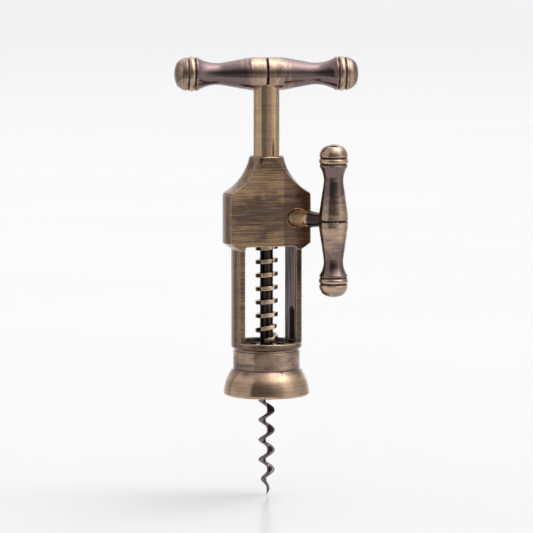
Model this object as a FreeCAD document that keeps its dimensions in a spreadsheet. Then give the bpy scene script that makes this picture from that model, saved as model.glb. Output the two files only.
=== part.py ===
"""Rack and pinion bar corkscrew, as a parametric document.

The frame stands on the bell, whose rim plane is Z = 0 on the spindle's axis. The legs stand at +X and -X,
the body's ground flat faces -Y, and the crank shaft leaves the flat towards +X and -Y.
"""
import FreeCAD, Part
import math
import os
import Sketcher

os.makedirs("parts", exist_ok=True)
doc = FreeCAD.newDocument("rack_corkscrew")

# Driving sizes: millimetres, degrees and counts.
SIZES = [
    # bell foot and collar
    ("rim_radius", 19.6, "flat rim under the bell, outer edge"),
    ("bell_radius", 20.45, "widest part of the bell"),
    ("bell_edge_rise", 1.1, "height of the bell's widest part above the rim"),
    ("bell_edge_curve", 1.2, "rounding from the rim to the widest part"),
    ("bell_curve", 20.0, "radius of the bell's ogee"),
    ("bell_height", 12.3, "top face of the bell"),
    ("bell_top_radius", 16.3, "bell's top edge"),
    ("socket_radius", 16.2, "inside of the bell, over a bottle's lip"),
    ("socket_mouth", 1.2, "chamfer at the bell's mouth"),
    ("socket_depth", 10.6, "rim to the lip seat"),
    ("seat_radius", 13.2, "inner edge of the lip seat"),
    ("throat_radius", 14.1, "bore that the cork rises through"),
    ("collar_radius", 15.9, "band between bell and ring"),
    ("collar_height", 8.6, "band, between its two grooves' outer faces"),
    ("groove_radius", 15.15, "bottom of the grooves beside the band"),
    ("groove_width", 0.5, "groove between bell and band"),
    ("ring_groove_width", 1.1, "groove between band and ring"),
    ("register_radius", 15.0, "spigots that centre the collar in bell and ring"),
    ("register_depth", 0.9, "length of each spigot"),
    ("seat_clearance", 0.02, "gap round a seated spigot, stud or pin"),
    # frame
    ("ring_height", 3.2, "ring under the legs"),
    ("ring_rounding", 1.6, "lower edge of the ring"),
    ("leg_radius", 16.8, "outside of ring and legs"),
    ("leg_gap", 12.5, "spindle axis to a leg's inner face"),
    ("leg_front", 7.3, "spindle axis to the legs' front faces"),
    ("leg_bore_radius", 13.35, "bore that clears the legs' inner faces above the ring"),
    ("leg_bore_rise", 16.8, "ring to the point of that bore"),
    ("leg_bore_point", 1.8, "pointed end of that bore"),
    ("legs_top", 69.2, "where the body's cone meets the legs"),
    ("arch_height", 70.7, "underside of the body between the legs"),
    ("arch_rounding", 1.2, "corners of the leg window"),
    ("body_radius", 20.9, "drum of the body"),
    ("cone_rise", 3.0, "lower cone of the body"),
    ("drum_top", 95.0, "top of the drum"),
    ("shoulder_radius", 20.2, "outer end of the flare"),
    ("shoulder_rise", 1.1, "bevel between drum and flare"),
    ("flare_curve", 25.2, "radius of the hollow flare"),
    ("neck_radius", 8.2, "neck round the stem"),
    ("neck_top", 113.0, "top face of the neck"),
    ("neck_chamfer", 0.3, "edge of the neck"),
    ("flat_front", 7.7, "spindle axis to the ground flat"),
    # rack sleeve
    ("rack_radius", 5.4, "outside of the rack rings"),
    ("rack_core_radius", 3.05, "rack sleeve between its rings"),
    ("rack_pitch", 6.4, "from ring to ring"),
    ("ring_thickness", 1.9, "one rack ring"),
    ("ring_lean", 5.5, "rings' lean from level"),
    ("ring_lean_angle", -16.3, "side on which the rings stand higher, about Z"),
    ("first_ring", 37.9, "middle of the lowest ring"),
    ("ring_count", 11, "separate rings under the top collar"),
    ("running_clearance", 0.05, "radial or end gap of a turning fit"),
    ("rack_clearance", 0.08, "gap round the rack in the body"),
    ("run_out_low", 25.9, "lower end of the spiral run-out"),
    ("run_out_pitch", 5.8, "lead of the spiral run-out"),
    ("run_out_turns", 1.2, "turns of the spiral run-out"),
    ("run_out_angle", -116.0, "where the run-out starts, about Z"),
    # spindle
    ("rod_radius", 2.0, "rod inside the rack sleeve"),
    ("rod_head_radius", 3.0, "rod inside the stem"),
    ("stem_radius", 6.2, "stem between neck and handle"),
    ("stem_bottom", 112.0, "lower end of the stem, inside the neck"),
    ("stem_travel", 22.2, "depth of the neck's bore below the stem"),
    ("washer_thickness", 0.8, "thrust washers"),
    ("washer_radius", 5.2, "thrust washers"),
    ("handle_height", 151.7, "axis of the T-handle"),
    ("handle_yaw", -10.0, "T-handle about Z, from X"),
    ("rod_overrun", 4.4, "rod past the T-handle's axis"),
    ("boss_radius", 6.5, "boss that holds the worm"),
    ("boss_bottom", 6.0, "lower face of the boss"),
    ("boss_top", 22.8, "upper face of the boss"),
    ("boss_chamfer", 0.8, "edges of the boss"),
    ("rod_end", 15.0, "lower end of the rod in the boss"),
    ("boss_pin_radius", 1.0, "cross pin in boss and rod"),
    ("boss_pin_height", 18.8, "axis of the cross pin"),
    ("worm_radius", 3.95, "outside of the worm"),
    ("worm_depth", 1.85, "half the worm's blade, from its inner to its outer edge"),
    ("worm_thickness", 0.92, "half the blade's thickness"),
    ("worm_pitch", 9.5, "lead of the worm"),
    ("worm_turns", 5.016, "full turns above the pointed end"),
    ("worm_point_turns", 1.3, "turns of the pointed end"),
    ("worm_point_depth", 0.24, "half the blunted point, from its inner to its outer edge"),
    ("worm_point_thickness", 0.2, "half the point's thickness"),
    ("worm_point_place", 0.45, "worm's axis to the point"),
    ("worm_draw_turns", 0.6, "turns above the point where the blade starts to thin quickly"),
    ("worm_draw_place", 1.15, "worm's axis to the blade's middle there"),
    ("worm_draw_depth", 1.15, "half the blade there, from its inner to its outer edge"),
    ("worm_draw_thickness", 0.8, "half the blade's thickness there"),
    ("worm_top", 11.9, "upper end of the worm, inside the boss"),
    ("worm_angle", 6.4, "where the worm's upper end lies, about Z"),
    ("worm_socket_depth", 7.5, "boss's socket for the worm"),
    # crank
    ("crank_height", 84.0, "axis of the crank shaft"),
    ("crank_angle", 60.0, "crank shaft from the flat"),
    ("leaf_root", 1.85, "core between the pinion's leaves"),
    ("root_clearance", 0.25, "pinion's core to the rack rings"),
    ("leaf_width", 1.0, "one pinion leaf"),
    ("leaf_count", 4, "leaves of the pinion"),
    ("leaf_setback", 0.05, "leaf tips below the shaft's surface"),
    ("leaf_half", 3.4, "half a leaf's length"),
    ("relief_half", 5.0, "half the thin core that clears the rack"),
    ("shaft_radius", 4.0, "crank shaft's front journal"),
    ("shaft_step", 6.5, "pinion's middle to the rear journal"),
    ("rear_radius", 2.6, "crank shaft's rear journal"),
    ("rear_inset", 5.3, "body's back to the crank shaft's rear end"),
    ("mouth_gap", 0.4, "recess round the shaft in the flat"),
    ("mouth_floor", 9.4, "pinion's middle to the recess's floor"),
    ("taper_start", 21.0, "pinion's middle to the shaft's taper"),
    ("taper_length", 7.0, "shaft's taper"),
    ("hub_radius", 3.3, "shaft's outer end"),
    ("hub_reach", 36.0, "pinion's middle to the crank grip's axis"),
    ("hub_overrun", 3.6, "shaft past the crank grip's axis"),
    ("end_bore_radius", 4.5, "recess for the end screw"),
    ("end_washer_radius", 3.9, "washer under the end screw"),
    ("end_screw_radius", 1.25, "end screw's shank"),
    ("end_screw_length", 8.5, "end screw's shank in the shaft"),
    ("end_head_radius", 2.8, "end screw's head"),
    ("end_head_height", 1.7, "end screw's head"),
    ("end_slot_width", 0.7, "screwdriver slot"),
    ("end_slot_depth", 0.9, "screwdriver slot"),
    ("end_float", 0.1, "end play of the crank shaft, each way"),
]

# Turned grips: one column for the T-handle's halves and one for the crank's.
GRIP_SIZES = [
    ("half", 43.6, 35.8, "seam to tip"),
    ("seam_radius", 7.2, 6.3, "bottom of the seam groove"),
    ("seam_half", 0.7, 0.6, "half the seam groove"),
    ("barrel_radius", 7.8, 6.8, "middle of the grip"),
    ("barrel_half", 7.6, 3.0, "seam to the start of the taper"),
    ("taper_radius", 5.5, 4.73, "end of the taper"),
    ("taper_place", 20.0, 17.3, "seam to the end of the taper"),
    ("waist_curve", 17.0, 11.0, "hollow of the waist"),
    ("lip_radius", 7.95, 6.6, "lip after the waist"),
    ("lip_place", 32.7, 25.3, "seam to the lip"),
    ("lip_width", 0.5, 0.6, "lip"),
    ("cut_depth", 0.45, 0.38, "two grooves beside the bead"),
    ("cut_slope", 0.3, 0.3, "sloped side of those grooves"),
    ("cut_width", 0.5, 0.5, "bottom of those grooves"),
    ("bead_width", 2.2, 1.9, "bead between the grooves"),
    ("bead_curve", 2.0, 1.7, "rounding of the bead"),
    ("knob_radius", 7.9, 6.68, "start of the end knob"),
    ("knob_curve", 6.45, 5.6, "side of the end knob"),
    ("crown_radius", 5.0, 4.5, "edge of the end knob's crown"),
    ("crown_rise", 1.1, 1.2, "height of the end knob's crown"),
    ("stud_radius", 2.0, 1.6, "stud that ties the two halves"),
    ("stud_half", 14.0, 12.0, "half the stud"),
    ("stud_end_gap", 1.0, 1.0, "tapped hole past the stud"),
]

sheet = doc.addObject("Spreadsheet::Sheet", "Sizes")


def write_size(row, alias, value, note):
    """Put one driving size in the sheet: its name, its number and what it measures."""
    sheet.set(f"A{row}", alias)
    sheet.set(f"B{row}", str(value))
    sheet.set(f"C{row}", note)
    sheet.setAlias(f"B{row}", alias)


ROWS = list(SIZES)
for grip_name, t_value, crank_value, grip_note in GRIP_SIZES:
    ROWS.append((f"handle_{grip_name}", t_value, f"T-handle: {grip_note}"))
    ROWS.append((f"crank_{grip_name}", crank_value, f"crank: {grip_note}"))
for row_number, (row_alias, row_value, row_note) in enumerate(ROWS, start=1):
    write_size(row_number, row_alias, row_value, row_note)
doc.recompute()


class Size:
    """A number together with the sheet expression that gives it."""

    def __init__(self, value, text):
        self.value = float(value)
        self.text = text

    @staticmethod
    def of(other):
        """Return other as a Size, whether it is one or a plain number."""
        if isinstance(other, Size):
            return other
        return Size(other, f"{other}")

    def __add__(self, other):
        other = Size.of(other)
        return Size(self.value + other.value, f"({self.text} + {other.text})")

    def __sub__(self, other):
        other = Size.of(other)
        return Size(self.value - other.value, f"({self.text} - {other.text})")

    def __mul__(self, other):
        other = Size.of(other)
        return Size(self.value * other.value, f"({self.text} * {other.text})")

    def __truediv__(self, other):
        other = Size.of(other)
        return Size(self.value / other.value, f"({self.text} / {other.text})")

    def __neg__(self):
        return Size(-self.value, f"(0 - {self.text})")


def size(alias):
    """Return the named driving size."""
    return Size(sheet.get(alias), f"Sizes.{alias}")


def sine(angle):
    """Return the sine of an angle in degrees."""
    return Size(math.sin(math.radians(angle.value)), f"sin({angle.text})")


def cosine(angle):
    """Return the cosine of an angle in degrees."""
    return Size(math.cos(math.radians(angle.value)), f"cos({angle.text})")


def tangent(angle):
    """Return the tangent of an angle in degrees."""
    return Size(math.tan(math.radians(angle.value)), f"tan({angle.text})")


def whole(number):
    """Return the whole part of a positive number."""
    return Size(math.floor(number.value), f"floor({number.text})")


ZERO = Size(0.0, "0")
FULL_TURN = 360.0

# Heights of the stack from the bell's rim up.
band_bottom = size("bell_height") + size("groove_width")
band_top = size("bell_height") + size("collar_height")
ring_bottom = band_top + size("ring_groove_width")
ring_top = ring_bottom + size("ring_height")
leg_bore_top = ring_top + size("leg_bore_rise")
sleeve_bottom = size("boss_top") + size("washer_thickness") + size("running_clearance")
sleeve_top = size("stem_bottom") - size("washer_thickness") - size("running_clearance")
neck_floor = size("stem_bottom") - size("stem_travel")

# Places of the crank: its shaft passes beside the rack, in mesh with it.
crank_offset = size("rack_radius") + size("root_clearance") + size("leaf_root")
pitch_radius = size("leaf_count") * size("rack_pitch") / (2.0 * math.pi)
crank_foot = (
    crank_offset * sine(size("crank_angle")),
    crank_offset * cosine(size("crank_angle")),
    size("crank_height"),
)
crank_yaw = Size(180.0, "180") - size("crank_angle")
rear_end = size("body_radius") - size("rear_inset")


def placement_text(place, turn):
    """Return the expression of a placement from a point and yaw, pitch and roll."""
    place_text = "; ".join(part.text for part in place)
    turn_text = "; ".join(part.text for part in turn)
    return f"placement(vector({place_text}); rotation({turn_text}))"


def along_crank(reach):
    """Return the point on the crank shaft's axis at this reach from the pinion's middle."""
    return (
        crank_foot[0] + reach * cosine(size("crank_angle")),
        crank_foot[1] - reach * sine(size("crank_angle")),
        crank_foot[2],
    )


SPINDLE_TURN = (size("handle_yaw"), ZERO, ZERO)
CRANK_TURN = (crank_yaw, Size(-90.0, "-90"), ZERO)
ORIGIN = (ZERO, ZERO, ZERO)


def new_body(label, place=ORIGIN, turn=(ZERO, ZERO, ZERO)):
    """Start a body with its label and a placement bound to the sheet."""
    body = doc.addObject("PartDesign::Body", label)
    body.Label = label
    body.setExpression("Placement", placement_text(place, turn))
    return body


def new_sketch(body, name, role, place=ORIGIN, turn=(ZERO, ZERO, ZERO)):
    """Start a sketch on one of the body's origin planes, offset within it."""
    sketch = body.newObject("Sketcher::SketchObject", name)
    plane = next(item for item in body.Origin.OriginFeatures if item.Role == role)
    sketch.AttachmentSupport = [(plane, "")]
    sketch.MapMode = "FlatFace"
    sketch.setExpression("AttachmentOffset", placement_text(place, turn))
    return sketch


def bind(sketch, constraint, value):
    """Add a dimension to a sketch and tie it to its expression."""
    index = sketch.addConstraint(constraint)
    sketch.setExpression(f"Constraints[{index}]", value.text)


def pin_point(sketch, geometry, end, across, up):
    """Hold a geometry's end at a place measured from the sketch's origin."""
    for kind, axis, value in (("DistanceX", -2, across), ("DistanceY", -1, up)):
        if value is ZERO:
            sketch.addConstraint(Sketcher.Constraint("PointOnObject", geometry, end, axis))
        else:
            bind(sketch, Sketcher.Constraint(kind, geometry, end, value.value), value)


def arc_between(start, finish, radius, side):
    """Return the arc from start to finish whose centre is on the left (1) or right (-1)."""
    chord = finish - start
    height = math.sqrt(radius * radius - chord.Length * chord.Length / 4.0)
    left = FreeCAD.Vector(-chord.y, chord.x, 0).normalize()
    centre = (start + finish) * 0.5 + left * height * side
    first, last = (start, finish) if side > 0 else (finish, start)
    first_angle = math.atan2(first.y - centre.y, first.x - centre.x)
    last_angle = math.atan2(last.y - centre.y, last.x - centre.x)
    circle = Part.Circle(centre, FreeCAD.Vector(0, 0, 1), radius)
    return Part.ArcOfCircle(circle, first_angle, last_angle)


def draw_outline(sketch, corners):
    """Draw a closed outline of straight and round edges, every size bound.

    Each corner is (across, up) for a straight edge on to the next corner, or
    (across, up, radius, side) for a round one.
    """
    points = [FreeCAD.Vector(corner[0].value, corner[1].value, 0) for corner in corners]
    starts = []
    finishes = []
    for index, corner in enumerate(corners):
        start = points[index]
        finish = points[(index + 1) % len(points)]
        if len(corner) == 2:
            edge = sketch.addGeometry(Part.LineSegment(start, finish))
            starts.append((edge, 1))
            finishes.append((edge, 2))
            continue
        radius, side = corner[2], corner[3]
        edge = sketch.addGeometry(arc_between(start, finish, radius.value, side))
        starts.append((edge, 1 if side > 0 else 2))
        finishes.append((edge, 2 if side > 0 else 1))
        bind(sketch, Sketcher.Constraint("Radius", edge, radius.value), radius)
    for index, (edge, end) in enumerate(finishes):
        next_edge, next_end = starts[(index + 1) % len(starts)]
        sketch.addConstraint(Sketcher.Constraint("Coincident", edge, end, next_edge, next_end))
    for corner, (edge, end) in zip(corners, starts):
        pin_point(sketch, edge, end, corner[0], corner[1])


def draw_circle(sketch, radius, across=ZERO, up=ZERO):
    """Draw a circle with its radius and centre bound."""
    centre = FreeCAD.Vector(across.value, up.value, 0)
    ring = sketch.addGeometry(Part.Circle(centre, FreeCAD.Vector(0, 0, 1), radius.value))
    bind(sketch, Sketcher.Constraint("Radius", ring, radius.value), radius)
    pin_point(sketch, ring, 3, across, up)


def turned(body, corners, name="profile"):
    """Revolve an outline of (radius, height) corners about the body's Z axis."""
    sketch = new_sketch(body, f"{body.Label}_{name}", "XZ_Plane")
    draw_outline(sketch, corners)
    feature = body.newObject("PartDesign::Revolution", f"{body.Label}_turned")
    feature.Profile = sketch
    feature.ReferenceAxis = (sketch, ["V_Axis"])
    feature.Angle = FULL_TURN
    doc.recompute()
    return feature


def pocket(body, sketch, name, depth=None, reverse=False, both_ways=False):
    """Cut a sketch out of the body, to a depth or right through, and see that it cut."""
    before = body.Shape.Volume
    feature = body.newObject("PartDesign::Pocket", name)
    feature.Profile = sketch
    feature.Reversed = reverse
    if depth is None:
        feature.Type = "ThroughAll"
    else:
        feature.Type = "Length"
        feature.setExpression("Length", depth.text)
    if both_ways:
        feature.SideType = "Symmetric"
    doc.recompute()
    if not body.Shape.Volume < before:
        raise ValueError(f"{name} cut nothing")
    return feature


def tube_corners(inner, outer, bottom, top):
    """Return the corners of a plain tube's section."""
    return [(inner, bottom), (outer, bottom), (outer, top), (inner, top)]


def make_bell_foot():
    """The bell that stands on the bottle, with a socket over its lip."""
    body = new_body("bell_foot")
    register = size("register_radius") + size("seat_clearance")
    register_floor = size("bell_height") - size("register_depth")
    turned(body, [
        (size("socket_radius") + size("socket_mouth"), ZERO),
        (size("rim_radius"), ZERO, size("bell_edge_curve"), 1),
        (size("bell_radius"), size("bell_edge_rise"), size("bell_curve"), 1),
        (size("bell_top_radius"), size("bell_height")),
        (register, size("bell_height")),
        (register, register_floor),
        (size("seat_radius"), register_floor),
        (size("seat_radius"), size("socket_depth")),
        (size("socket_radius"), size("socket_depth")),
        (size("socket_radius"), size("socket_mouth")),
    ])
    return body


def make_foot_collar():
    """The band between bell and ring, with a spigot into each."""
    body = new_body("foot_collar")
    turned(body, [
        (size("throat_radius"), size("bell_height") - size("register_depth")),
        (size("register_radius"), size("bell_height") - size("register_depth")),
        (size("register_radius"), size("bell_height")),
        (size("groove_radius"), size("bell_height")),
        (size("groove_radius"), band_bottom),
        (size("collar_radius"), band_bottom),
        (size("collar_radius"), band_top),
        (size("groove_radius"), band_top),
        (size("groove_radius"), ring_bottom),
        (size("register_radius"), ring_bottom),
        (size("register_radius"), ring_bottom + size("register_depth")),
        (size("throat_radius"), ring_bottom + size("register_depth")),
    ])
    return body


def make_frame():
    """Body, two legs and ring in one piece, bored for rack, stem and crank shaft."""
    body = new_body("frame")
    register = size("register_radius") + size("seat_clearance")
    register_top = ring_bottom + size("register_depth") + size("seat_clearance")
    turned(body, [
        (register, ring_bottom),
        (size("leg_radius") - size("ring_rounding"), ring_bottom, size("ring_rounding"), 1),
        (size("leg_radius"), ring_bottom + size("ring_rounding")),
        (size("leg_radius"), size("legs_top")),
        (size("body_radius"), size("legs_top") + size("cone_rise")),
        (size("body_radius"), size("drum_top")),
        (size("shoulder_radius"), size("drum_top") + size("shoulder_rise"), size("flare_curve"), -1),
        (size("neck_radius"), size("neck_top") - size("neck_chamfer")),
        (size("neck_radius") - size("neck_chamfer"), size("neck_top")),
        (ZERO, size("neck_top")),
        (ZERO, leg_bore_top),
        (size("leg_gap"), leg_bore_top),
        (size("leg_bore_radius"), leg_bore_top - size("leg_bore_point")),
        (size("leg_bore_radius"), ring_top),
        (size("throat_radius"), ring_top),
        (size("throat_radius"), register_top),
        (register, register_top),
    ])
    window = new_sketch(body, "leg_window_outline", "XZ_Plane")
    corner = size("arch_rounding")
    draw_outline(window, [
        (-size("leg_gap"), ring_top),
        (size("leg_gap"), ring_top),
        (size("leg_gap"), size("arch_height") - corner, corner, 1),
        (size("leg_gap") - corner, size("arch_height")),
        (-size("leg_gap") + corner, size("arch_height"), corner, 1),
        (-size("leg_gap"), size("arch_height") - corner),
    ])
    pocket(body, window, "leg_window", both_ways=True)
    wide = size("body_radius") + size("neck_radius")
    for name, front, low, high in (
        ("body_flat", size("flat_front"), size("legs_top"), size("neck_top") + size("neck_radius")),
        ("leg_fronts", size("leg_front"), ring_top, size("legs_top")),
    ):
        face = new_sketch(body, f"{name}_outline", "XZ_Plane", place=(ZERO, ZERO, front))
        draw_outline(face, [(-wide, low), (wide, low), (wide, high), (-wide, high)])
        pocket(body, face, name, reverse=True)
    rack_bore = new_sketch(body, "rack_bore_outline", "XY_Plane")
    draw_circle(rack_bore, size("rack_radius") + size("rack_clearance"))
    pocket(body, rack_bore, "rack_bore", both_ways=True)
    stem_bore = new_sketch(body, "stem_bore_outline", "XY_Plane", place=(ZERO, ZERO, size("neck_top")))
    draw_circle(stem_bore, size("stem_radius") + size("running_clearance"))
    pocket(body, stem_bore, "stem_bore", depth=size("neck_top") - neck_floor)
    bore_crank(body)
    return body


def bore_crank(body):
    """Bore the frame along the crank shaft: rear recess, rear journal, front journal and mouth."""
    before = body.Shape.Volume
    turn = (Size(270.0, "270") - size("crank_angle"), Size(-90.0, "-90"), ZERO)
    sketch = new_sketch(body, "crank_bore_outline", "XY_Plane", place=crank_foot, turn=turn)
    journal = size("shaft_radius") + size("running_clearance")
    rear = size("rear_radius") + size("running_clearance")
    step = -(size("shaft_step") + size("end_float"))
    recess = -(rear_end - size("end_float"))
    outside = size("body_radius") + size("end_bore_radius")
    draw_outline(sketch, [
        (ZERO, -outside),
        (size("end_bore_radius"), -outside),
        (size("end_bore_radius"), recess),
        (rear, recess),
        (rear, step),
        (journal, step),
        (journal, size("mouth_floor")),
        (size("shaft_radius") + size("mouth_gap"), size("mouth_floor")),
        (size("shaft_radius") + size("mouth_gap"), outside),
        (ZERO, outside),
    ])
    feature = body.newObject("PartDesign::Groove", "crank_bore")
    feature.Profile = sketch
    feature.ReferenceAxis = (sketch, ["V_Axis"])
    feature.Angle = FULL_TURN
    doc.recompute()
    if not body.Shape.Volume < before:
        raise ValueError("crank_bore cut nothing")


def make_rack_sleeve():
    """The sleeve round the rod: rings that the pinion drives, however the rod turns."""
    body = new_body("rack_sleeve", turn=(size("run_out_angle"), ZERO, ZERO))
    core = size("rack_core_radius")
    outer = size("rack_radius")
    half = size("ring_thickness") / 2
    top_ring = size("first_ring") + size("ring_count") * size("rack_pitch") - half
    turned(body, [
        (ZERO, sleeve_bottom),
        (core, sleeve_bottom),
        (core, top_ring),
        (outer, top_ring),
        (outer, sleeve_top),
        (ZERO, sleeve_top),
    ])
    lean = (size("ring_lean_angle") - size("run_out_angle"), -size("ring_lean"), ZERO)
    low = (ZERO, ZERO, size("first_ring") - half)
    sketch = new_sketch(body, "rack_ring_outline", "XY_Plane", place=low, turn=lean)
    draw_circle(sketch, outer)
    ring = body.newObject("PartDesign::Pad", "rack_ring")
    ring.Profile = sketch
    ring.UseCustomVector = True
    ring.Direction = FreeCAD.Vector(0, 0, 1)
    ring.AlongSketchNormal = False
    ring.setExpression("Length", size("ring_thickness").text)
    doc.recompute()
    rings = body.newObject("PartDesign::LinearPattern", "rack_rings")
    rings.Originals = [ring]
    upwards = next(item for item in body.Origin.OriginFeatures if item.Role == "Z_Axis")
    rings.Direction = (upwards, [""])
    count = size("ring_count")
    rings.setExpression("Length", (size("rack_pitch") * (count - 1)).text)
    rings.setExpression("Occurrences", count.text)
    body.Tip = rings
    doc.recompute()
    add_run_out(body)
    bore = new_sketch(body, "rack_sleeve_bore_outline", "XY_Plane")
    draw_circle(bore, size("rod_radius") + size("running_clearance"))
    pocket(body, bore, "rack_sleeve_bore", both_ways=True)
    return body


def add_run_out(body):
    """Add the spiral that the rack ends in, below its lowest ring."""
    sketch = new_sketch(body, "run_out_outline", "XZ_Plane")
    half = size("ring_thickness") / 2
    foot = size("rack_core_radius") - half
    draw_outline(sketch, [
        (foot, size("run_out_low") - half),
        (size("rack_radius"), size("run_out_low") - half),
        (size("rack_radius"), size("run_out_low") + half),
        (foot, size("run_out_low") + half),
    ])
    spiral = body.newObject("PartDesign::AdditiveHelix", "run_out")
    spiral.Profile = sketch
    spiral.ReferenceAxis = (sketch, ["V_Axis"])
    spiral.Mode = "pitch-turns-angle"
    spiral.setExpression("Pitch", size("run_out_pitch").text)
    spiral.setExpression("Turns", size("run_out_turns").text)
    body.Tip = spiral
    doc.recompute()


def make_thrust_washer(label, bottom):
    """A washer between the turning spindle and an end of the rack sleeve."""
    body = new_body(label)
    inner = size("rod_radius") + size("seat_clearance")
    turned(body, tube_corners(inner, size("washer_radius"), bottom, bottom + size("washer_thickness")))
    return body


def make_stem_sleeve():
    """The stem round the rod, shaped at its top to the T-handle's barrel."""
    body = new_body("stem_sleeve", turn=SPINDLE_TURN)
    inner = size("rod_head_radius") + size("seat_clearance")
    turned(body, tube_corners(inner, size("stem_radius"), size("stem_bottom"), size("handle_height")))
    saddle = new_sketch(body, "stem_saddle_outline", "YZ_Plane")
    barrel = size("handle_barrel_radius") + size("seat_clearance")
    draw_circle(saddle, barrel, up=size("handle_height"))
    pocket(body, saddle, "stem_saddle", both_ways=True)
    return body


def make_spindle_rod():
    """The rod from the T-handle down through stem and rack into the worm's boss."""
    body = new_body("spindle_rod", turn=SPINDLE_TURN)
    rod_top = size("handle_height") + size("rod_overrun")
    turned(body, [
        (ZERO, size("rod_end")),
        (size("rod_radius"), size("rod_end")),
        (size("rod_radius"), size("stem_bottom")),
        (size("rod_head_radius"), size("stem_bottom")),
        (size("rod_head_radius"), rod_top),
        (ZERO, rod_top),
    ])
    clearance = size("seat_clearance")
    for name, radius, height in (
        ("stud_hole", size("handle_stud_radius") + clearance, size("handle_height")),
        ("pin_hole", size("boss_pin_radius") + clearance, size("boss_pin_height")),
    ):
        hole = new_sketch(body, f"rod_{name}_outline", "YZ_Plane")
        draw_circle(hole, radius, up=height)
        pocket(body, hole, f"rod_{name}", both_ways=True)
    return body


def make_worm_boss():
    """The boss that joins rod and worm and stops the rack at the top of its lift."""
    body = new_body("worm_boss", turn=SPINDLE_TURN)
    outer = size("boss_radius")
    edge = size("boss_chamfer")
    bore = size("rod_radius") + size("seat_clearance")
    socket = size("worm_radius") + size("seat_clearance")
    socket_top = size("boss_bottom") + size("worm_socket_depth")
    turned(body, [
        (socket, size("boss_bottom")),
        (outer - edge, size("boss_bottom")),
        (outer, size("boss_bottom") + edge),
        (outer, size("boss_top") - edge),
        (outer - edge, size("boss_top")),
        (bore, size("boss_top")),
        (bore, size("rod_end")),
        (ZERO, size("rod_end")),
        (ZERO, socket_top),
        (socket, socket_top),
    ])
    hole = new_sketch(body, "boss_pin_hole_outline", "YZ_Plane")
    draw_circle(hole, size("boss_pin_radius") + size("seat_clearance"), up=size("boss_pin_height"))
    pocket(body, hole, "boss_pin_hole", both_ways=True)
    return body


def make_rod_on_x(label, radius, half, place, turn):
    """A plain rod centred on its body's origin and lying along its Z axis."""
    body = new_body(label, place=place, turn=turn)
    turned(body, [(ZERO, -half), (radius, -half), (radius, half), (ZERO, half)])
    return body


def make_worm():
    """The open worm: a right-hand helical blade that ends in a drawn-out point."""
    depth = size("worm_depth").value
    thickness = size("worm_thickness").value
    middle = size("worm_radius").value - depth
    pitch = size("worm_pitch").value
    point_depth = size("worm_point_depth").value
    point_thickness = size("worm_point_thickness").value
    draw_depth = size("worm_draw_depth").value
    draw_thickness = size("worm_draw_thickness").value
    top = size("worm_top").value
    join = top - size("worm_turns").value * pitch
    tip = join - size("worm_point_turns").value * pitch
    lead = math.atan2(pitch, 2.0 * math.pi * middle)

    def section(height, reach, half_depth, half_thickness):
        """Return the blade's lens-like section at a height, with its middle at this reach."""
        turn = math.radians(size("worm_angle").value) + 2.0 * math.pi * (height - top) / pitch
        outward = FreeCAD.Vector(math.cos(turn), math.sin(turn), 0)
        aside = FreeCAD.Vector(-math.sin(turn), math.cos(turn), 0)
        across = FreeCAD.Vector(0, 0, math.cos(lead)) - aside * math.sin(lead)
        centre = outward * reach + FreeCAD.Vector(0, 0, height)
        outline = Part.Ellipse(centre + outward * half_depth, centre + across * half_thickness, centre)
        return Part.Wire([outline.toShape()])

    def helix(low, high):
        """Return the blade's middle line between two heights."""
        line = Part.makeHelix(pitch, high - low, middle)
        line.rotate(FreeCAD.Vector(0, 0, 0), FreeCAD.Vector(0, 0, 1),
                    size("worm_angle").value + FULL_TURN * (low - top) / pitch)
        line.translate(FreeCAD.Vector(0, 0, low))
        return Part.Wire(line.Edges)

    full = section(join, middle, depth, thickness)
    draw_start = tip + size("worm_draw_turns").value * pitch
    thinner = section(draw_start, size("worm_draw_place").value, draw_depth, draw_thickness)
    drawn_out = section(tip, size("worm_point_place").value, point_depth, point_thickness)
    blade = helix(join, top).makePipeShell([full], True, True)
    pointed_end = helix(tip, join).makePipeShell([drawn_out, thinner, full], True, True)
    feature = doc.addObject("Part::Feature", "worm")
    feature.Label = "worm"
    feature.Shape = blade.fuse(pointed_end)
    return feature


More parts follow.
